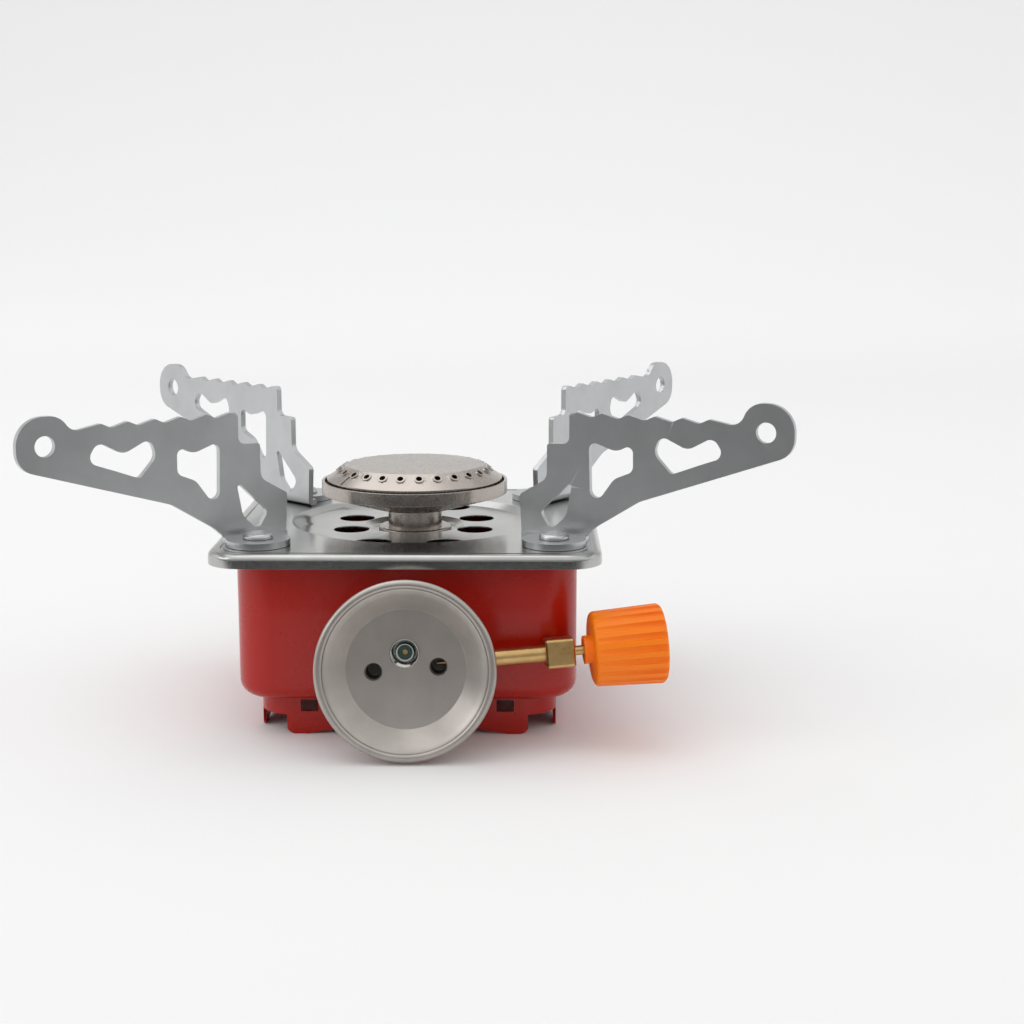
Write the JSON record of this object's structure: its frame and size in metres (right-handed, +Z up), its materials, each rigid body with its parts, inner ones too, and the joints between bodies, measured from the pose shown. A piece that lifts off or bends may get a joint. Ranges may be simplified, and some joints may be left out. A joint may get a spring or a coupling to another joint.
{
  "type": "camping stove",
  "caption": "Square folding gas stove: red case, steel plate, round burner, four serrated arms on rivets, valve with canister cup and orange knob.",
  "frame": {"origin": "on the burner axis, in the plane of the feet", "axes": "+Z up, +X to the knob's side, +Y away from the canister cup"},
  "size_m": [0.1818, 0.143, 0.086],
  "materials": {
    "steel_plate": "satin",
    "steel_arm": "matte",
    "burner_steel": "satin",
    "cup_steel": "satin",
    "red_paint": "gloss",
    "zinc_steel": "satin",
    "brass": "satin",
    "cast_zinc": "matte",
    "chrome": "gloss",
    "green_rubber": "matte",
    "orange_plastic": "satin"
  },
  "bodies": {
    "base": {"top_plate": "steel_plate", "case_shell": "red_paint", "foot_skirt": "red_paint", "base_screws": "zinc_steel", "base_nuts": "zinc_steel", "arm_rivets": "zinc_steel", "arm_washers": "zinc_steel", "mixing_tube": "brass", "burner_locknut": "zinc_steel", "burner_top_nut": "zinc_steel", "burner_base_flange": "burner_steel", "burner_neck": "burner_steel", "burner_bowl": "burner_steel", "burner_cap": "burner_steel", "flame_screen": "burner_steel", "jet_holder": "brass", "jet": "brass", "holder_screw": "zinc_steel", "canister_cup": "cup_steel", "inlet_ferrule": "chrome", "inlet_seal": "green_rubber", "inlet_filter": "brass", "valve_body": "cast_zinc", "mounting_wedge": "cast_zinc", "wedge_screws": "zinc_steel", "tail_washer": "zinc_steel", "tail_nut": "brass", "feed_pipe": "brass", "pipe_nuts": "brass", "valve_neck": "brass", "packing_nut": "brass", "spindle_seal": "green_rubber"},
    "arm_front_left_body": {"arm_front_left": "steel_arm"},
    "arm_front_right_body": {"arm_front_right": "steel_arm"},
    "arm_rear_left_body": {"arm_rear_left": "steel_arm"},
    "arm_rear_right_body": {"arm_rear_right": "steel_arm"},
    "knob_body": {"knob": "orange_plastic", "spindle": "brass", "knob_screw": "zinc_steel"},
    "needle_body": {"valve_needle": "brass"}
  },
  "joints": [
    {"name": "fold_front_left", "type": "hinge", "parent": "base", "child": "arm_front_left_body", "pos_m": [-0.037, -0.0355, 0.0485], "axis": [0, 0, 1], "range_deg": [0, 141]},
    {"name": "fold_front_right", "type": "hinge", "parent": "base", "child": "arm_front_right_body", "pos_m": [0.037, -0.0355, 0.0485], "axis": [0, 0, 1], "range_deg": [0, 115]},
    {"name": "fold_rear_left", "type": "hinge", "parent": "base", "child": "arm_rear_left_body", "pos_m": [-0.034, 0.0315, 0.0485], "axis": [0, 0, 1], "range_deg": [0, 134]},
    {"name": "fold_rear_right", "type": "hinge", "parent": "base", "child": "arm_rear_right_body", "pos_m": [0.034, 0.0315, 0.0485], "axis": [0, 0, 1], "range_deg": [0, 126]},
    {"name": "turn_knob", "type": "hinge", "parent": "base", "child": "knob_body", "pos_m": [0.04553, -0.04685, 0.02469], "axis": [0.9913, 0.115, 0.0636], "range_deg": [0, 345]},
    {"name": "lift_needle", "type": "slide", "parent": "base", "child": "needle_body", "axis": [0.9913, 0.115, 0.0636], "range_m": [0, 0.00075]}
  ],
  "couplings": [
    {"joint": "lift_needle", "follows": "turn_knob", "m_per_rad": 0.00012456}
  ]
}
